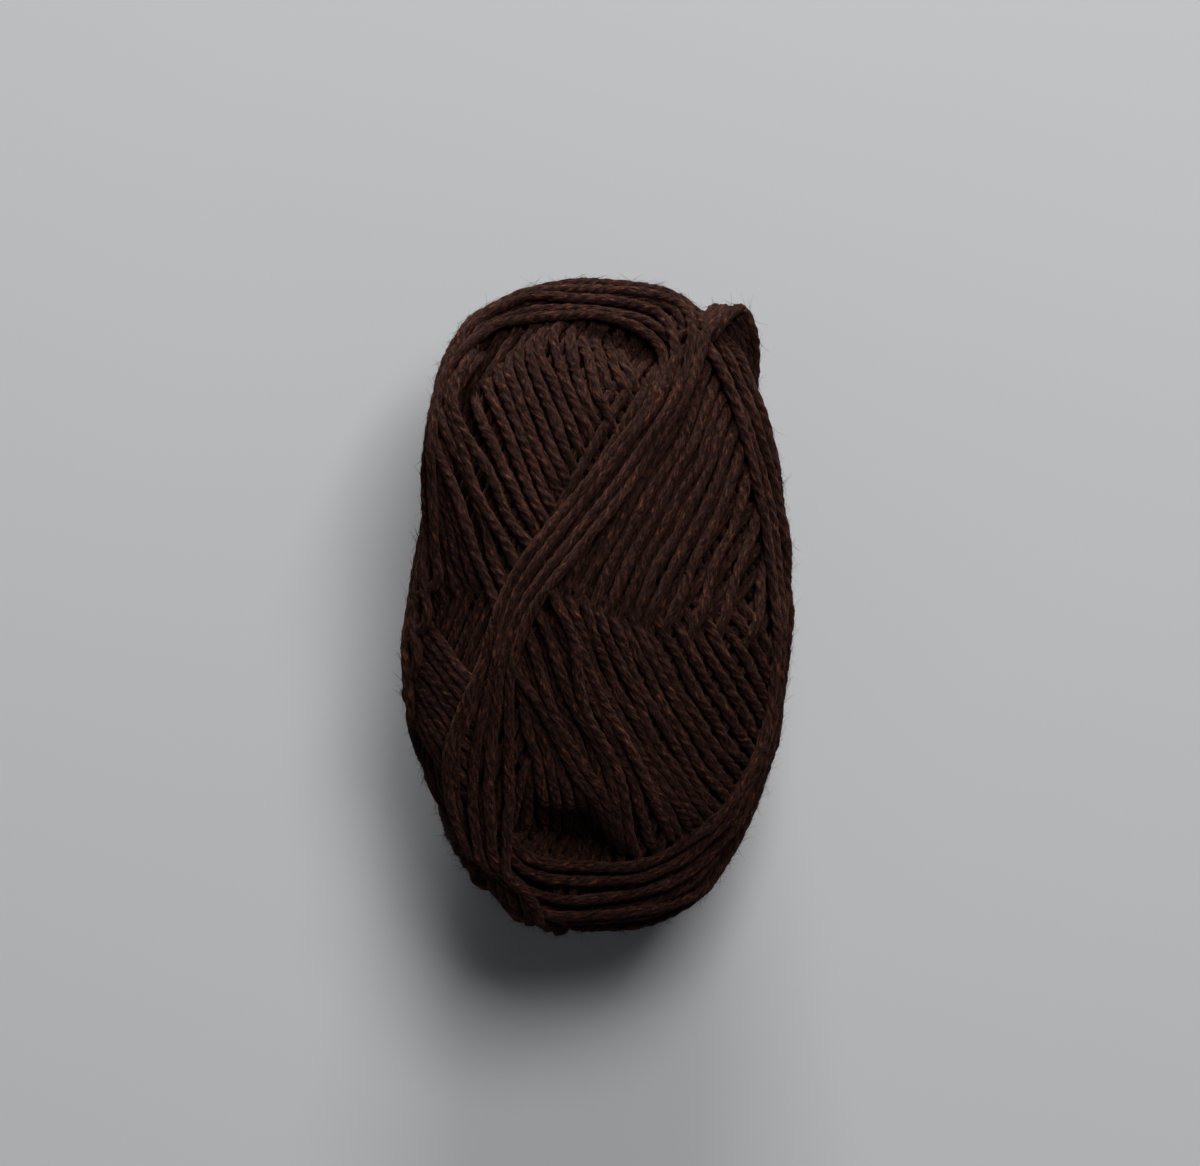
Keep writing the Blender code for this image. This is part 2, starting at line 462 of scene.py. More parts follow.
@dataclass
class WoundForm:
    """The smooth form that the innermost visible turns are wound on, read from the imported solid."""

    mouths: tuple[Mouth, ...] = (
        Mouth((9.0, 50.5), (7.5, 3.5), 3.5 * MM),
        Mouth((-4.5, -45.5), (9.5, 4.5), 7.0 * MM),
    )
    depth: float = 4.6 * MM
    skin_depth: float = 0.8 * MM
    softening: int = 10
    merge: float = 0.01 * MM
    pull_in: float = 0.985
    tries: int = 60
    well_inside: float = 2 * MM
    centre: Vector = field(init=False)
    half_size: np.ndarray = field(init=False)
    tree: BVHTree = field(init=False)
    hollowed: BVHTree = field(init=False)
    skin: BVHTree = field(init=False)

    def __post_init__(self) -> None:
        """Read the solid, smooth its ridges away and draw it in by the depth of the turns."""
        low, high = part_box(NODE)
        self.centre = 0.5 * (low + high)
        self.half_size = np.array(0.5 * (high - low))
        self.tree = self.surface(self.depth, ())
        self.hollowed = self.surface(self.depth, self.mouths)
        self.skin = self.surface(self.skin_depth, ())

    def surface(self, depth: float, mouths: tuple[Mouth, ...]) -> BVHTree:
        """Return the smoothed solid's surface, drawn in by a depth along its normals and at some mouths."""
        shape = self.drawn_in(depth, mouths)
        tree = BVHTree.FromBMesh(shape)
        shape.free()
        return tree

    def drawn_in(self, depth: float, mouths: tuple[Mouth, ...]) -> bmesh.types.BMesh:
        """Return a copy of the solid with its ridges smoothed away, drawn in by a depth.

        Args:
            depth: how far it is drawn in all round.
            mouths: the hollows that sink its top further.

        Returns:
            The drawn-in shape.
        """
        shape = bmesh.new()
        shape.from_mesh(bpy.data.objects[NODE].data)
        bmesh.ops.remove_doubles(shape, verts=shape.verts[:], dist=self.merge)
        for _ in range(self.softening):
            bmesh.ops.smooth_vert(
                shape, verts=shape.verts[:], factor=0.5, use_axis_x=True, use_axis_y=True, use_axis_z=True
            )
        shape.normal_update()
        moves = [(vertex, vertex.normal * depth) for vertex in shape.verts]
        for vertex, move in moves:
            if vertex.co.z > self.centre.z:
                vertex.co.z -= sum(mouth.sinks(vertex.co.x, vertex.co.y) for mouth in mouths)
            vertex.co -= move
        shape.normal_update()
        return shape

    def bearing(self, place: Place, side: Side) -> np.ndarray:
        """Return the direction to the form under a place of the plan.

        Args:
            place: the place. One past the skein's edge is pulled in until it meets the skein.
            side: whether the top or the underside is meant.

        Returns:
            The direction, in shares of the half size.
        """
        x, y = place[0] * MM, place[1] * MM
        far = 3.0 * self.half_size[2] * side.value
        for shrink in range(self.tries):
            share = self.pull_in**shrink
            start = Vector((x * share, y * share, self.centre.z + far))
            hit = self.skin.ray_cast(start, Vector((0.0, 0.0, -side.value)))[0]
            if hit is not None:
                foot = self.tree.find_nearest(hit)[0]
                return unit(np.array(foot - self.centre) / self.half_size)
        raise ValueError(f"place {place} misses the skein")

    def holds(self, point: Vector) -> bool:
        """Return whether a point lies well inside the form."""
        nearest, normal, _, gap = self.tree.find_nearest(point)
        return gap > self.well_inside and (point - nearest).dot(normal) < 0.0

    def feet(
        self, bearings: np.ndarray, origin: Vector | None = None, over_mouths: bool = False
    ) -> tuple[np.ndarray, np.ndarray]:
        """Return the form's points and outward normals in some directions.

        Args:
            bearings: one direction a row, in shares of the half size.
            origin: where the directions start, the centre if left out.
            over_mouths: whether the hollows are left out.

        Returns:
            The points and the normals, one row for each direction.
        """
        start = self.centre if origin is None else origin
        tree = self.tree if over_mouths else self.hollowed
        points, normals = [], []
        for bearing in bearings * self.half_size:
            hit, normal, _, _ = tree.ray_cast(start, Vector(bearing))
            points.append(hit)
            normals.append(normal)
        return np.array(points), np.array(normals)


@dataclass
class Winder:
    """Lays turns over the form, each on those under it.

    The bends are curvatures of the form, in 1/m. The dive and the floor's gap are in radii of the yarn.
    """

    form: WoundForm
    yarn: Yarn
    rng: np.random.Generator
    step: float = 1.0 * MM
    fewest_points: int = 12
    pulls: int = 120
    least_bend: float = 4.0
    most_bend: float = 70.0
    dive_depth: float = 3.4
    floor_gap: float = 1.12
    rays: int = 180
    matched_points: int = 220
    stray_waves: int = 5
    feet: list[np.ndarray] = field(default_factory=list)
    heights: list[np.ndarray] = field(default_factory=list)
    groups: list[np.ndarray] = field(default_factory=list)
    tree: KDTree | None = None

    def support(self, feet: np.ndarray, group: int) -> np.ndarray:
        """Return how high the middle of a new turn must lie over each foot.

        Args:
            feet: points of the form under the turn.
            group: the number of the turns that it lies side by side with, and so beds closer to.

        Returns:
            The lowest height at each point.
        """
        yarn = self.yarn
        needed = np.full(len(feet), yarn.radius)
        if self.tree is None:
            return needed
        laid, owners = np.concatenate(self.heights), np.concatenate(self.groups)
        far, near = 2.0 * yarn.radius * yarn.seat, 2.0 * yarn.radius * yarn.own_seat
        for index, foot in enumerate(feet):
            for _, other, gap in self.tree.find_range(foot, far / yarn.spread):
                seat, aside = near if owners[other] == group else far, gap * yarn.spread
                if aside < seat:
                    needed[index] = max(needed[index], laid[other] + math.sqrt(seat * seat - aside * aside))
        return needed

    def pulled_taut(self, needed: np.ndarray, bend: np.ndarray, closed: bool) -> np.ndarray:
        """Return the height of a taut turn that touches what it must lie over.

        Args:
            needed: the lowest height at each point.
            bend: the form's curvature along the turn.
            closed: whether the turn ends where it starts.

        Returns:
            The height at each point.
        """
        height = needed.copy()
        sag = 0.5 * bend * self.step * self.step
        for _ in range(self.pulls):
            before, after = neighbours(height, closed)
            height = np.maximum(needed, 0.5 * (before + after) - sag)
        return along(height, closed, 2)

    def lay(
        self, feet: np.ndarray, normals: np.ndarray, group: int, make: Make, swathe: Swathe | None
    ) -> Turn:
        """Lay one turn over its feet and remember it.

        Args:
            feet: points of the form under the turn.
            normals: the form's normals at them.
            group: the number of the turns that it lies side by side with.
            make: how finely its yarn is made.
            swathe: the swathe that it is of, if it isn't a closed turn of a family.

        Returns:
            The laid turn.
        """
        closed = swathe is None or swathe.closed
        count = max(self.fewest_points, int(path_length(feet, closed) / self.step))
        both = spaced(np.concatenate([feet, normals * OUTWARD_WEIGHT * MM], axis=1), closed, count)
        feet, normals = along(both[:, :3], closed, 3), unit(along(both[:, 3:], closed, 8))
        before, after = neighbours(feet, closed)
        turning = before + after - 2 * feet
        if not closed:
            turning[[0, -1]] = 0.0
        bend = np.clip(-np.sum(turning * normals, axis=1) / self.step**2, self.least_bend, self.most_bend)
        height = self.pulled_taut(self.support(feet, group), along(bend, closed, 6), closed)
        if swathe and not closed:
            station = np.arange(count) * self.step
            from_end = np.minimum(station, station[-1] - station) / (swathe.dive * MM)
            height = height - self.dive_depth * self.yarn.radius * np.clip(1.0 - from_end, 0.0, 1.0) ** 2
            height = height + swathe.lift * MM * np.sin(np.linspace(0.0, math.pi, count)) ** 2
        self.feet.append(feet)
        self.heights.append(height)
        self.groups.append(np.full(count, group))
        self.tree = finder(np.concatenate(self.feet))
        middle = feet + normals * height[:, None]
        middle[:, 2] = np.maximum(middle[:, 2], self.floor_gap * self.yarn.radius)
        return Turn(middle, normals, closed, make)

    def stray(self, count: int, wander: float) -> np.ndarray:
        """Return how far a turn of so many points strays aside, in shares of the mean half size."""
        row = slow_noise(self.rng, count, self.stray_waves) * wander * MM / self.form.half_size.mean()
        return row[:, None]

    def wind_family(self, family: Family) -> list[Turn]:
        """Lay one family's turns round the whole skein.

        Args:
            family: the family.

        Returns:
            The laid turns.
        """
        heading, lean = math.radians(family.heading), math.radians(family.lean)
        forward = np.array((math.cos(heading), math.sin(heading), 0.0))
        aside = np.array(
            (-math.sin(heading) * math.cos(lean), math.cos(heading) * math.cos(lean), math.sin(lean))
        )
        upward = np.cross(aside, forward)
        group = len(self.groups)
        # Each plane's turn goes round the middle of the form's own section there
        reach = float(np.linalg.norm(self.form.half_size * aside))
        middles = self.form.half_size**2 * aside / reach**2
        turns = []
        for index in range(int(2 * reach / (family.pitch * MM))):
            offset = -reach + (index + 0.5) * family.pitch * MM
            origin = self.form.centre + Vector(middles) * offset
            angle = np.linspace(0.0, TAU, self.rays, endpoint=False)[:, None]
            rays = np.cos(angle) * forward + np.sin(angle) * upward
            rays = rays + aside * self.stray(self.rays, family.wander)
            if not self.form.holds(origin):
                continue
            feet, normals = self.form.feet(rays / self.form.half_size, origin)
            turns.append(self.lay(feet, normals, group, family.make, None))
        return turns

    def guide_curves(self, swathe: Swathe) -> list[np.ndarray]:
        """Return the bearings along each of a swathe's guides.

        Guides of as many places each are matched place by place, and others by their length.

        Args:
            swathe: the swathe.

        Returns:
            As many rows for each guide.
        """
        curves = []
        for guide in swathe.guides:
            stretches = ((guide.lead, Side.UNDER), (guide.over, Side.OVER), (guide.tail, Side.UNDER))
            knots = [self.form.bearing(place, side) for places, side in stretches for place in places]
            curves.append(unit(smooth_curve(np.array(knots), swathe.closed)))
        if len({len(curve) for curve in curves}) > 1:
            curves = [unit(spaced(curve, swathe.closed, self.matched_points)) for curve in curves]
        return curves

    def wind_turn(self, swathe: Swathe, curves: list[np.ndarray], index: int, group: int) -> Turn:
        """Lay one of a swathe's turns.

        Args:
            swathe: the swathe.
            curves: the bearings along each of its guides.
            index: which turn, from 0 at the first guide.
            group: the number of the swathe's turns.

        Returns:
            The laid turn.
        """
        share = index / max(1, swathe.turns - 1) * (len(curves) - 1)
        before = min(int(share), len(curves) - 2)
        share -= before
        curve = unit((1.0 - share) * curves[before] + share * curves[before + 1])
        across = unit(np.cross(np.gradient(curve, axis=0), curve))
        curve = unit(curve + across * self.stray(len(curve), swathe.wander))
        feet, normals = self.form.feet(curve, over_mouths=swathe.layer is Layer.TOP)
        if not swathe.closed:
            per_foot = path_length(feet, False) / len(feet)
            cut = (self.rng.uniform(0.0, swathe.ragged * MM, 2) / per_foot).astype(int)
            kept = slice(cut[0], len(feet) - cut[1])
            feet, normals = feet[kept], normals[kept]
        return self.lay(feet, normals, group, Make.FINE, swathe)

    def wind_swathes(self, swathes: tuple[Swathe, ...]) -> list[Turn]:
        """Lay one swathe's turns, or those of several plaited swathes by turns.

        Args:
            swathes: the swathes that are laid together.

        Returns:
            The laid turns.
        """
        groups = [len(self.groups) + number for number in range(len(swathes))]
        curves = [self.guide_curves(swathe) for swathe in swathes]
        order = [
            (index / max(1, swathe.turns - 1), number, index)
            for number, swathe in enumerate(swathes)
            for index in range(swathe.turns)
        ]
        # Laid from the last guides to the first, the ends of both plaited swathes pass under
        return [
            self.wind_turn(swathes[number], curves[number], index, groups[number])
            for _, number, index in sorted(order, reverse=len(swathes) > 1)
        ]


@dataclass
class MeshParts:
    """Gathers points, four-sided faces and their UV corners, and makes them into pieces."""

    points: list[np.ndarray] = field(default_factory=list)
    quads: list[np.ndarray] = field(default_factory=list)
    uvs: list[np.ndarray] = field(default_factory=list)
    openness: list[np.ndarray] = field(default_factory=list)
    count: int = 0

    def triangles(self) -> int:
        """Return how many triangles are gathered."""
        return 2 * sum(len(quads) for quads in self.quads)

    def add(self, points: np.ndarray, quads: np.ndarray, uvs: np.ndarray, openness: np.ndarray) -> None:
        """Add to what is gathered.

        Args:
            points: one row for each point.
            quads: the faces, as rows of four of these points.
            uvs: one UV place for each corner of each face.
            openness: how open to the air each point lies, from 0 to 1.
        """
        self.points.append(points)
        self.quads.append(quads + self.count)
        self.uvs.append(uvs)
        self.openness.append(openness)
        self.count += len(points)

    def piece(self, name: str) -> bpy.types.Object:
        """Return what is gathered as one closed mesh object, and start again.

        Args:
            name: the object's name.

        Returns:
            The object.
        """
        points, quads, uvs = (np.concatenate(rows) for rows in (self.points, self.quads, self.uvs))
        mesh = bpy.data.meshes.new(name)
        mesh.vertices.add(len(points))
        mesh.vertices.foreach_set("co", points.ravel())
        mesh.loops.add(quads.size)
        mesh.loops.foreach_set("vertex_index", quads.ravel())
        mesh.polygons.add(len(quads))
        mesh.polygons.foreach_set("loop_start", np.arange(0, quads.size, 4))
        mesh.uv_layers.new(name="UVMap").uv.foreach_set("vector", uvs.ravel())
        openness = mesh.attributes.new(OPENNESS, "FLOAT", "POINT")
        openness.data.foreach_set("value", np.concatenate(self.openness))
        mesh.update(calc_edges=True)
        mesh.validate()
        shape = bmesh.new()
        shape.from_mesh(mesh)
        rims = [edge for edge in shape.edges if edge.is_boundary]
        if rims:
            bmesh.ops.holes_fill(shape, edges=rims, sides=0)
            shape.to_mesh(mesh)
        shape.free()
        mesh.shade_smooth()
        self.points, self.quads, self.uvs, self.openness, self.count = [], [], [], [], 0
        return placed(name, mesh)


def tube_faces(rings: int, sides: int, closed: bool, turned: int) -> tuple[np.ndarray, np.ndarray]:
    """Return the faces of a tube and where each of their corners lies along and round it.

    Args:
        rings: rings of points along the tube.
        sides: points of each ring.
        closed: whether the last ring meets the first.
        turned: how many points the first ring is turned by where the last meets it.

    Returns:
        The faces as rows of four points, and for each face four pairs of ring and side.
    """
    links = rings if closed else rings - 1
    ring, side = (row.ravel() for row in np.indices((links, sides)))
    steps = ((0, 0), (1, 0), (1, 1), (0, 1))
    corners = np.stack([(ring + along_tube, side + around) for along_tube, around in steps])
    corners = corners.transpose(2, 0, 1)
    ring, side = corners[..., 0], corners[..., 1]
    quads = ring % rings * sides + (side + np.where(ring == rings, turned, 0)) % sides
    return quads, corners.reshape(-1, 2)


class Shelter:
    """Tells how far the turns shelter one another, for the painted shade that darkens the wool down between
    them.

    Its distances are in radii of the yarn, from a point of one turn to another turn's middle.
    """

    FREE = 9.0
    SEARCHED = 3.1
    DARKEST = 0.8
    FADE = 1.1

    def __init__(self, yarn: Yarn, turns: list[Turn]) -> None:
        """Keep every turn's middle line, and which turn each of its points is of."""
        self.yarn = yarn
        self.middles = np.concatenate([turn.middle for turn in turns])
        self.owners = np.concatenate([np.full(len(turn.middle), id(turn)) for turn in turns])
        self.tree = finder(self.middles)

    def openness(self, turn: Turn, middle: np.ndarray, points: np.ndarray) -> np.ndarray:
        """Return how open to the air the points of a turn's rings lie.

        Args:
            turn: the turn.
            middle: the middle of each ring.
            points: the points of each ring.

        Returns:
            One value for each point, from 0 against another turn to 1 with none near.
        """
        radius = self.yarn.radius
        gaps = np.full(points.shape[:2], self.FREE * radius)
        for ring, place in enumerate(middle):
            near = self.tree.find_range(place, self.SEARCHED * radius)
            found = np.array([index for _, index, _ in near], dtype=int)
            found = found[self.owners[found] != id(turn)]
            if len(found):
                away = points[ring][:, None] - self.middles[found][None]
                gaps[ring] = np.sqrt((away**2).sum(axis=-1).min(axis=1))
        share = np.clip((gaps / radius - self.DARKEST) / self.FADE, 0.0, 1.0)
        return share * share * (3.0 - 2.0 * share)


@dataclass
class Spinner:
    """Makes laid turns into yarn: tubes of twisted plies, closed on themselves or rounded off."""

    yarn: Yarn
    rng: np.random.Generator
    shelter: Shelter
    parts: MeshParts = field(default_factory=MeshParts)

    def add(self, turn: Turn) -> None:
        """Add one turn's yarn to what is gathered."""
        yarn, closed = self.yarn, turn.closed
        sides, ring_step = turn.make.value
        length = path_length(turn.middle, closed)
        rings = max(8, int(length / (ring_step * MM)))
        outward = turn.outward * OUTWARD_WEIGHT * MM
        both = spaced(np.concatenate([turn.middle, outward], axis=1), closed, rings)
        middle, outward = both[:, :3], unit(both[:, 3:])
        before, after = neighbours(middle, closed)
        forward = unit(after - before)
        sideways = unit(np.cross(forward, outward))
        upright = np.cross(sideways, forward)
        station = np.arange(rings) * length / rings
        twists = length / yarn.ply_pitch
        if closed:
            twists = max(1, round(twists * yarn.plies)) / yarn.plies
        around = np.arange(sides) * TAU / sides
        stray = yarn.stray_twist * slow_noise(self.rng, rings, max(4, rings // 16))
        start = self.rng.uniform(0.0, TAU) + stray
        angle = start[:, None] + station[:, None] / length * twists * TAU + around[None]
        width = yarn.radius * (1.0 + yarn.unevenness * slow_noise(self.rng, rings, max(3, rings // 12)))
        if not closed:
            from_end = np.minimum(station, station[::-1]) / yarn.rounding
            width = width * np.sqrt(np.clip(from_end, 0.02, 1.0))
        tufts = self.rng.normal(0.0, yarn.tufts, (rings, sides))
        tufts = 0.5 * tufts + 0.25 * (np.roll(tufts, 1, axis=1) + np.roll(tufts, 1, axis=0))
        reach = width[:, None] * (1.0 + yarn.groove * np.cos(yarn.plies * around)[None] + tufts)
        points = middle[:, None] + reach[..., None] * (
            np.cos(angle)[..., None] * sideways[:, None]
            + yarn.squash * np.sin(angle)[..., None] * upright[:, None]
        )
        quads, corners = tube_faces(rings, sides, closed, round(twists * sides) % sides)
        along_yarn = self.rng.uniform(0.0, UV_SPREAD) + corners[:, 0] * length / rings / UV_LENGTH
        uvs = np.stack([along_yarn, corners[:, 1] / sides], axis=1)
        openness = self.shelter.openness(turn, middle, points)
        self.parts.add(points.reshape(-1, 3), quads, uvs, openness.ravel())


@dataclass
class Fuzz:
    """The loose fibres that stand off the uncovered yarn, as short tapered hairs.

    Roots, headroom and clearance are in radii of the yarn. Rise, swerve and curl are shares of a
    hair's length, each with its lowest and highest value or its mean and spread.
    """

    yarn: Yarn
    rng: np.random.Generator
    hairs: int = 11500
    rings: int = 3
    sides: int = 3
    root_radius: float = 0.042 * MM
    root_spread: Span = (0.6, 1.2)
    taper: float = 0.75
    shortest: float = 0.9 * MM
    longest: float = 3.2 * MM
    roll: float = 1.2
    root: float = 0.85
    headroom: float = 0.9
    clearance: float = 1.55
    lowest_root: float = 1.5 * MM
    lowest_point: float = 0.1 * MM
    rise: Span = (0.05, 0.75)
    swerve: Span = (0.0, 0.35)
    curl_out: Span = (-0.05, 0.22)
    curl_aside: Span = (0.0, 0.35)

    def roots(self, turns: list[Turn]) -> tuple[np.ndarray, np.ndarray, np.ndarray]:
        """Return places on the uncovered yarn.

        Args:
            turns: the laid turns.

        Returns:
            The places, and the yarn's direction and the way out at each.
        """
        middles = np.concatenate([turn.middle for turn in turns])
        ways = np.concatenate([unit(np.gradient(turn.middle, axis=0)) for turn in turns])
        outs = np.concatenate([turn.outward for turn in turns])
        tree = finder(middles)
        radius = self.yarn.radius
        places, forwards, outwards = [], [], []
        while len(places) < self.hairs:
            index = int(self.rng.integers(len(middles)))
            roll = self.rng.uniform(-self.roll, self.roll)
            sideways = np.cross(ways[index], outs[index])
            out = unit(math.cos(roll) * outs[index] + math.sin(roll) * sideways)
            place = middles[index] + out * radius * self.root
            clear = place + out * radius * self.headroom
            if tree.find(clear)[2] > self.clearance * radius and clear[2] > self.lowest_root:
                places.append(place)
                forwards.append(ways[index] * self.rng.choice((-1.0, 1.0)))
                outwards.append(out)
        return np.array(places), np.array(forwards), np.array(outwards)

    def lines(self, places: np.ndarray, forwards: np.ndarray, outwards: np.ndarray) -> np.ndarray:
        """Return the hairs' middle lines, which leave the yarn and curl away.

        Args:
            places: where the hairs are rooted.
            forwards: the yarn's direction at each root.
            outwards: the way out at each root.

        Returns:
            The points of each hair.
        """
        column = (len(places), 1)
        sideways = np.cross(forwards, outwards)
        rise = self.rng.uniform(*self.rise, column) ** 1.5
        swerve = self.rng.normal(*self.swerve, column)
        length = self.rng.uniform(self.shortest, self.longest, column)
        first = unit(forwards + rise * outwards + swerve * sideways)
        curl = outwards * self.rng.normal(*self.curl_out, column)
        curl = curl + sideways * self.rng.normal(*self.curl_aside, column)
        share = np.linspace(0.0, 1.0, self.rings)[None, :, None]
        lines = places[:, None] + length[:, None] * (first[:, None] * share + curl[:, None] * share**2)
        lines[..., 2] = np.maximum(lines[..., 2], self.lowest_point)
        return lines

    def build(self, turns: list[Turn], name: str) -> bpy.types.Object:
        """Return hairs on the turns as one piece.

        Args:
            turns: the laid turns.
            name: the piece's name.

        Returns:
            The piece.
        """
        places, forwards, outwards = self.roots(turns)
        count = len(places)
        lines = self.lines(places, forwards, outwards)
        heading = unit(np.gradient(lines, axis=1))
        left = unit(np.cross(heading, outwards[:, None]))
        up = np.cross(left, heading)
        taper = 1.0 - self.taper * np.linspace(0.0, 1.0, self.rings)[None, :, None, None]
        radius = self.root_radius * taper * self.rng.uniform(*self.root_spread, (count, 1, 1, 1))
        angle = (np.arange(self.sides) * TAU / self.sides)[None, None, :, None]
        ring = np.cos(angle) * left[:, :, None] + np.sin(angle) * up[:, :, None]
        points = lines[:, :, None] + radius * ring
        quads, corners = tube_faces(self.rings, self.sides, False, 0)
        starts = np.arange(count)[:, None, None] * (self.sides * self.rings)
        shift = self.rng.uniform(0.0, UV_SPREAD, (count, 1))
        around = np.broadcast_to(corners[None, :, 1] / self.sides, (count, len(corners)))
        uvs = np.stack([shift + corners[None, :, 0] / self.rings, around], axis=-1)
        quads = (quads[None] + starts).reshape(-1, 4)
        parts = MeshParts()
        parts.add(points.reshape(-1, 3), quads, uvs.reshape(-1, 2), np.ones(points.size // 3))
        return parts.piece(name)


@dataclass(frozen=True)
class HeatherTones:
    """The wool's colours: its body, and its pale, dark, russet and plum fibres."""

    body: Colour = (0.0262, 0.0097, 0.0071)
    pale: Colour = (0.062, 0.0243, 0.0170)
    dark: Colour = (0.0065, 0.0034, 0.0032)
    russet: Colour = (0.132, 0.0385, 0.0136)
    plum: Colour = (0.039, 0.0155, 0.0172)


@dataclass(frozen=True)
class FibreNoise:
    """A noise drawn out along the yarn, shifted to differ from others, and the span that shows."""

    scale: Spot
    shift: float
    detail: float
    span: Span


class Nodes:
    """Adds and joins the nodes of one material or node group."""

    def __init__(self, tree: bpy.types.NodeTree) -> None:
        """Keep the tree that the nodes go in."""
        self.tree = tree

    def feed(self, node: bpy.types.Node, inputs: dict[str | int, object]) -> bpy.types.Node:
        """Give a node its inputs.

        Args:
            node: the node.
            inputs: values or other nodes' outputs for its inputs.

        Returns:
            The node.
        """
        for key, value in inputs.items():
            if isinstance(value, bpy.types.NodeSocket):
                self.tree.links.new(value, node.inputs[key])
            elif node.inputs[key].type == "RGBA":
                node.inputs[key].default_value = (*value, 1.0)
            else:
                node.inputs[key].default_value = value
        return node

    def add(
        self, kind: str, inputs: dict[str | int, object] | None = None, **settings: object
    ) -> bpy.types.Node:
        """Add a node.

        Args:
            kind: the node's type, without its first words.
            inputs: values or other nodes' outputs for its inputs.
            settings: the node's own settings.

        Returns:
            The node.
        """
        node = self.tree.nodes.new(f"ShaderNode{kind}")
        for name, value in settings.items():
            setattr(node, name, value)
        return self.feed(node, inputs or {})

    def maths(self, operation: str, *values: object) -> bpy.types.NodeSocket:
        """Return the result of a maths node on values or outputs."""
        return self.add("Math", dict(enumerate(values)), operation=operation).outputs[0]

    def ranged(
        self, value: bpy.types.NodeSocket, given: Span, wanted: Span = (0.0, 1.0), kind: str = "LINEAR"
    ) -> bpy.types.NodeSocket:
        """Return a value moved from one span to another and kept inside it.

        Args:
            value: the output to move.
            given: the span that it moves from.
            wanted: the span that it moves to.
            kind: the steps between, by the node's own name.

        Returns:
            The moved value.
        """
        spans = {"From Min": given[0], "From Max": given[1], "To Min": wanted[0], "To Max": wanted[1]}
        return self.add("MapRange", {"Value": value, **spans}, interpolation_type=kind).outputs["Result"]

    def ramp(self, value: bpy.types.NodeSocket, given: Span) -> bpy.types.NodeSocket:
        """Return a value moved from a span to between 0 and 1, with soft ends."""
        return self.ranged(value, given, kind="SMOOTHSTEP")

    def mix(
        self, share: object, first: object, second: object, blend: str = "MIX"
    ) -> bpy.types.NodeSocket:
        """Return two colours mixed by a share."""
        inputs = {0: share, 6: first, 7: second}
        return self.add("Mix", inputs, data_type="RGBA", blend_type=blend).outputs[2]

    def shaded(self, colour: object, share: bpy.types.NodeSocket) -> bpy.types.NodeSocket:
        """Return a colour made lighter or darker by a share."""
        grey = self.add("CombineColor", {0: share, 1: share, 2: share}).outputs[0]
        return self.mix(1.0, colour, grey, "MULTIPLY")

    def noise(self, vector: bpy.types.NodeSocket, scale: float, detail: float) -> bpy.types.NodeSocket:
        """Return a noise over a vector."""
        return self.add("TexNoise", {"Vector": vector, "Scale": scale, "Detail": detail}).outputs["Fac"]

    def drawn_noise(self, vector: bpy.types.NodeSocket, noise: FibreNoise) -> bpy.types.NodeSocket:
        """Return a noise over a vector, drawn out by scales of its own."""
        move = (noise.shift, 0.6 * noise.shift, 0.3 * noise.shift)
        moved = self.add("Mapping", {"Vector": vector, "Location": move, "Scale": noise.scale})
        return self.noise(moved.outputs[0], 1.0, noise.detail)


@dataclass(frozen=True)
class HeatherGroup:
    """The heathered colour of wool fibres, and how far each fibre stands out, on yarn coordinates."""

    tones: HeatherTones = HeatherTones()
    lock: FibreNoise = FibreNoise((2.1, 2.1, 0.75), 0.0, 2.0, (0.38, 0.60))
    fibre: FibreNoise = FibreNoise((5.5, 5.5, 1.10), 5.0, 1.0, (0.48, 0.72))
    russet: FibreNoise = FibreNoise((1.9, 1.9, 0.60), 17.0, 1.0, (0.56, 0.72))
    plum: FibreNoise = FibreNoise((1.5, 1.5, 0.50), 31.0, 1.0, (0.52, 0.68))
    pale_locks: Span = (0.42, 0.66)
    russet_share: float = 0.7
    plum_share: float = 0.6
    cloud_scale: float = 70.0
    cloud_span: Span = (0.3, 0.7)
    cloud_shades: Span = (0.78, 1.2)

    def build(self) -> bpy.types.NodeTree:
        """Return the node group."""
        tree = bpy.data.node_groups.new("heather", "ShaderNodeTree")
        for name, way, kind in (
            ("Yarn", "INPUT", "Vector"),
            ("Place", "INPUT", "Vector"),
            ("Colour", "OUTPUT", "Color"),
            ("Fibre", "OUTPUT", "Float"),
        ):
            tree.interface.new_socket(name, in_out=way, socket_type=f"NodeSocket{kind}")
        nodes = Nodes(tree)
        given = tree.nodes.new("NodeGroupInput").outputs
        lock, fibre, russet, plum = (
            nodes.drawn_noise(given["Yarn"], noise)
            for noise in (self.lock, self.fibre, self.russet, self.plum)
        )
        cloud = nodes.noise(given["Place"], self.cloud_scale, 2.0)
        tones = self.tones
        colour = nodes.mix(nodes.ramp(lock, self.lock.span), tones.dark, tones.body)
        share = nodes.maths("MULTIPLY", nodes.ramp(plum, self.plum.span), self.plum_share)
        colour = nodes.mix(share, colour, tones.plum)
        pale_lock = nodes.ramp(lock, self.pale_locks)
        share = nodes.maths("MULTIPLY", nodes.ramp(fibre, self.fibre.span), pale_lock)
        colour = nodes.mix(share, colour, tones.pale)
        share = nodes.maths("MULTIPLY", nodes.ramp(russet, self.russet.span), self.russet_share)
        colour = nodes.mix(share, colour, tones.russet)
        colour = nodes.shaded(colour, nodes.ranged(cloud, self.cloud_span, self.cloud_shades))
        stands_out = nodes.maths("ADD", fibre, lock)
        nodes.feed(tree.nodes.new("NodeGroupOutput"), {"Colour": colour, "Fibre": stands_out})
        return tree


def new_material(name: str) -> tuple[bpy.types.Material, Nodes, bpy.types.Node]:
    """Return a new material of a name, its nodes and its shader."""
    material = bpy.data.materials.new(name)
    material.use_nodes = True
    return material, Nodes(material.node_tree), material.node_tree.nodes["Principled BSDF"]


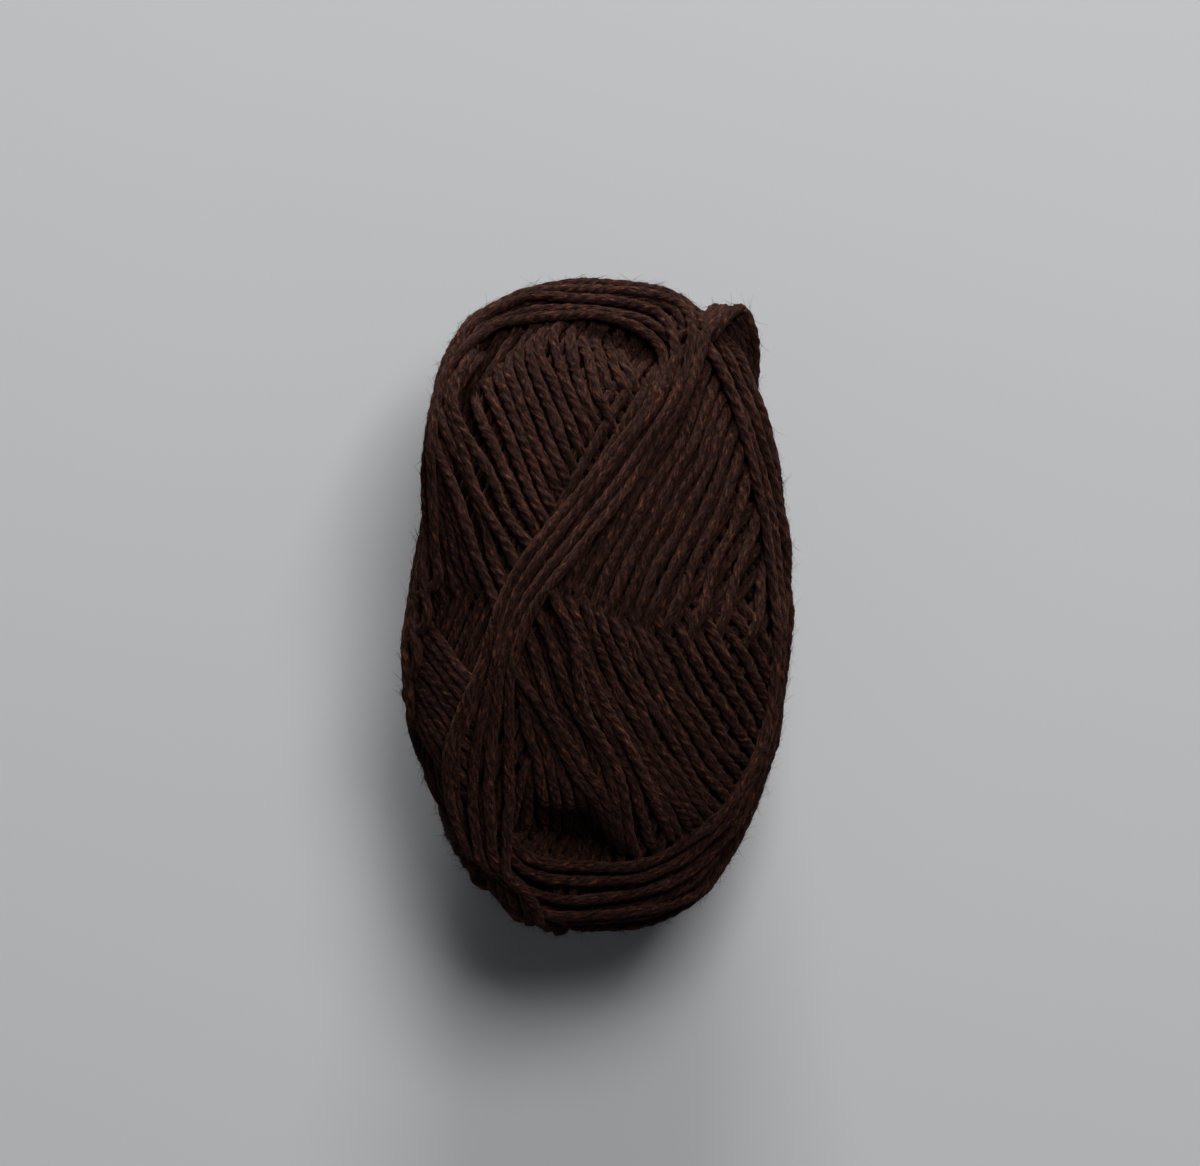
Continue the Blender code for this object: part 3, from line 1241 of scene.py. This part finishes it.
@dataclass(frozen=True)
class WoolFinish:
    """The finish of spun wool: heathered, matt and a little fluffy, with painted shade darkening it between
    its plies and where other turns lie close.
    """

    name: str
    yarn: Yarn
    groove_shade: float = 0.24
    groove_span: Span = (0.25, -1.0)
    gap_shade: float = 0.20
    lay: float = 0.7
    bump: float = 1.0
    bump_depth: float = 0.35 * MM
    ply_bump: float = 0.1
    roughness: float = 0.92
    fibre_span: Span = (0.7, 1.3)
    specular: float = 0.10
    sheen: float = 0.12
    sheen_roughness: float = 0.5
    sheen_tint: Colour = (0.48, 0.20, 0.12)

    def build(self, heather: bpy.types.NodeTree) -> bpy.types.Material:
        """Return the material.

        Args:
            heather: the node group of the wool's fibres.

        Returns:
            The wool on yarn that carries its own UV map.
        """
        material, nodes, shader = new_material(self.name)
        uv = nodes.add("SeparateXYZ", {0: nodes.add("UVMap", uv_map="UVMap").outputs[0]}).outputs
        ply = nodes.maths("COSINE", nodes.maths("MULTIPLY", uv[1], TAU * self.yarn.plies))
        # The fibres lie closer to the yarn's own direction than its plies do
        untwist = self.lay * UV_LENGTH / self.yarn.ply_pitch
        spiral = nodes.maths("ADD", uv[1], nodes.maths("MULTIPLY", uv[0], untwist))
        turn = nodes.maths("MULTIPLY", spiral, TAU)
        across, upward = (
            nodes.maths("MULTIPLY", nodes.maths(operation, turn), self.yarn.radius / MM)
            for operation in ("COSINE", "SINE")
        )
        forward = nodes.maths("MULTIPLY", uv[0], UV_LENGTH / MM)
        yarn = nodes.add("CombineXYZ", {0: across, 1: upward, 2: forward}).outputs[0]
        place = nodes.add("TexCoord").outputs["Object"]
        fibres = nodes.add("Group", {"Yarn": yarn, "Place": place}, node_tree=heather).outputs
        # Painted shade: the colour is darkened in the grooves between the plies
        groove = nodes.ramp(ply, self.groove_span)
        dark = nodes.maths("SUBTRACT", 1.0, nodes.maths("MULTIPLY", groove, self.groove_shade))
        # Painted shade: the colour is darkened where the stored openness says other turns lie close
        open_air = nodes.add("Attribute", attribute_name=OPENNESS).outputs["Fac"]
        lit = nodes.ranged(open_air, (0.0, 1.0), (1.0 - self.gap_shade, 1.0))
        height = nodes.maths("ADD", fibres["Fibre"], nodes.maths("MULTIPLY", ply, self.ply_bump))
        bump = nodes.add("Bump", {"Height": height, "Strength": self.bump, "Distance": self.bump_depth})
        nodes.feed(
            shader,
            {
                "Base Color": nodes.shaded(fibres["Colour"], nodes.maths("MULTIPLY", dark, lit)),
                "Normal": bump.outputs[0],
                "Roughness": nodes.ranged(fibres["Fibre"], self.fibre_span, (1.0, self.roughness)),
                "Specular IOR Level": self.specular,
                "Sheen Weight": self.sheen,
                "Sheen Roughness": self.sheen_roughness,
                "Sheen Tint": self.sheen_tint,
            },
        )
        return material


@dataclass(frozen=True)
class DeepWoolFinish:
    """The finish of the wool deep between the turns, its colour darkened all over as painted shade for the
    near darkness there, on object coordinates.
    """

    name: str = "deep wool"
    shade: float = 0.35
    scale: Spot = (900.0, 300.0, 900.0)
    heading: float = 0.5
    bump_depth: float = 0.5 * MM
    roughness: float = 0.95
    specular: float = 0.1

    def build(self, heather: bpy.types.NodeTree) -> bpy.types.Material:
        """Return the material.

        Args:
            heather: the node group of the wool's fibres.

        Returns:
            The dark wool.
        """
        material, nodes, shader = new_material(self.name)
        place = nodes.add("TexCoord").outputs["Object"]
        turned = {"Vector": place, "Scale": self.scale, "Rotation": (0.0, 0.0, self.heading)}
        drawn = nodes.add("Mapping", turned).outputs[0]
        fibres = nodes.add("Group", {"Yarn": drawn, "Place": place}, node_tree=heather).outputs
        bump = nodes.add("Bump", {"Height": fibres["Fibre"], "Strength": 1.0, "Distance": self.bump_depth})
        nodes.feed(
            shader,
            {
                # Painted shade: the fibres' colour is darkened all over by the shade share
                "Base Color": nodes.mix(1.0, fibres["Colour"], (self.shade,) * 3, "MULTIPLY"),
                "Normal": bump.outputs[0],
                "Roughness": self.roughness,
                "Specular IOR Level": self.specular,
            },
        )
        return material


@dataclass
class InnerTurns:
    """The mass of turns deep inside, seen only as darkness between the laid ones."""

    form: WoundForm
    depth: float = 5.0 * MM

    def build(self) -> bpy.types.Object:
        """Return the mass: the wound form's own closed surface, drawn in under the laid turns."""
        shape = self.form.drawn_in(self.depth, self.form.mouths)
        bmesh.ops.recalc_face_normals(shape, faces=shape.faces[:])
        mesh = bpy.data.meshes.new("inner_turns")
        shape.to_mesh(mesh)
        shape.free()
        mesh.shade_smooth()
        return placed("inner_turns", mesh)


@dataclass
class Skein:
    """The whole skein: its inner mass, its laid turns and its loose fibres, all of one wool."""

    yarn: Yarn = field(default_factory=Yarn)
    seed: int = 7

    def wind(self, winder: Winder) -> Laid:
        """Lay all the turns.

        Args:
            winder: lays them.

        Returns:
            The groups of turns, from the inside out.
        """
        laid = [(family.layer, family.name, winder.wind_family(family)) for family in FAMILIES]
        held: tuple[Swathe, ...] = ()
        for swathe in SWATHES:
            held += (swathe,)
            if not swathe.plaited:
                name = " and ".join(part.name for part in held)
                laid.append((swathe.layer, name, winder.wind_swathes(held)))
                held = ()
        return laid

    def spin(self, laid: Laid, rng: np.random.Generator) -> list[bpy.types.Object]:
        """Make the laid turns into yarn with loose fibres.

        Args:
            laid: the groups of turns.
            rng: the source of chance.

        Returns:
            A piece for each layer, and two of loose fibres.
        """
        turns = [turn for _, _, group in laid for turn in group]
        spinner = Spinner(self.yarn, rng, Shelter(self.yarn, turns))
        strands = []
        for layer in Layer:
            for _, name, group in (row for row in laid if row[0] is layer):
                length = sum(path_length(turn.middle, turn.closed) for turn in group)
                LOG.info("%s: %d turns, %.1f m of yarn", name, len(group), length)
                for turn in group:
                    spinner.add(turn)
            strands.append(spinner.parts.piece(layer.value))
        fuzz = Fuzz(self.yarn, rng)
        return strands + [fuzz.build(turns, f"loose_fibres_{number}") for number in (1, 2)]

    def build(self) -> None:
        """Make the skein's pieces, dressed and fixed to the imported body."""
        rng = np.random.default_rng(self.seed)
        form = WoundForm()
        laid = self.wind(Winder(form, self.yarn, rng))
        heather = HeatherGroup().build()
        wool = WoolFinish("wool", self.yarn).build(heather)
        # The inner mass wears the deep wool, which is darkened by painted shade
        dressed = [(InnerTurns(form).build(), DeepWoolFinish().build(heather))]
        dressed += [(strand, wool) for strand in self.spin(laid, rng)]
        for piece, material in dressed:
            piece.data.materials.append(material)
            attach(piece, BODY)
            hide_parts(NODE)
            triangles = sum(len(face.vertices) - 2 for face in piece.data.polygons)
            LOG.info("%s: %d triangles", piece.name, triangles)


@dataclass(frozen=True)
class PaperFinish:
    """The finish of the plain pale floor."""

    name: str = "pale floor"
    colour: Colour = (0.60, 0.605, 0.615)
    roughness: float = 0.9
    specular: float = 0.2
    grain_scale: float = 9.0
    grain_shades: Span = (0.985, 1.015)

    def build(self) -> bpy.types.Material:
        """Return the material."""
        material, nodes, shader = new_material(self.name)
        grain = nodes.noise(nodes.add("TexCoord").outputs["Object"], self.grain_scale, 3.0)
        shade = nodes.ranged(grain, (0.0, 1.0), self.grain_shades)
        colour = nodes.shaded(self.colour, shade)
        inputs = {"Base Color": colour, "Roughness": self.roughness, "Specular IOR Level": self.specular}
        nodes.feed(shader, inputs)
        return material


@dataclass(frozen=True)
class SoftLamp:
    """A square soft light that faces the skein."""

    name: str
    place: Spot
    energy: float
    size: float
    lit: Spot = (0.0, 0.0, 30 * MM)

    def build(self) -> None:
        """Make the light."""
        lamp = bpy.data.lights.new(self.name, "AREA")
        lamp.energy = self.energy
        lamp.size = self.size
        holder = placed(self.name, lamp)
        holder.location = self.place
        holder.rotation_mode = "QUATERNION"
        holder.rotation_quaternion = (Vector(self.lit) - holder.location).to_track_quat("-Z", "Y")


@dataclass
class Studio:
    """The floor, the soft light from the top of the photograph, and the camera straight above."""

    floor_size: float = 4.0
    lamps: tuple[SoftLamp, ...] = (
        SoftLamp("key", (0.32, 0.68, 1.32), 13.8, 0.66),
        SoftLamp("low key", (0.06, 1.80, 0.30), 46.0, 0.55),
    )
    room_colour: Colour = (0.62, 0.64, 0.68)
    room_strength: float = 0.10
    camera_height: float = 1.4
    clip_end: float = 10.0
    aim: Spot = (0.4 * MM, 4.7 * MM, 31.0 * MM)

    def build(self) -> None:
        """Make the floor, the lights and the camera."""
        bpy.ops.object.select_all(action="DESELECT")
        bpy.ops.mesh.primitive_plane_add(size=self.floor_size)
        floor = bpy.context.object
        floor.name = "floor"
        floor.data.materials.append(PaperFinish().build())
        for lamp in self.lamps:
            lamp.build()
        world = bpy.data.worlds.new("room")
        bpy.context.scene.world = world
        world.use_nodes = True
        inputs = {"Color": self.room_colour, "Strength": self.room_strength}
        Nodes(world.node_tree).feed(world.node_tree.nodes["Background"], inputs)
        bpy.context.scene.view_settings.view_transform = "Standard"
        lens = bpy.data.cameras.new("camera")
        lens.lens = SENSOR_WIDTH * self.camera_height / (PHOTO_WIDTH * PHOTO_MM_PER_PIXEL * MM)
        lens.clip_end = self.clip_end
        camera = placed("camera", lens)
        camera.location = (self.aim[0], self.aim[1], self.aim[2] + self.camera_height)
        bpy.context.scene.camera = camera


def main() -> None:
    """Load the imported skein, lay and dress its turns, and set up the studio."""
    logging.basicConfig(level=logging.INFO, format="%(name)s: %(message)s")
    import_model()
    Skein().build()
    Studio().build()


if __name__ == "__main__":
    main()
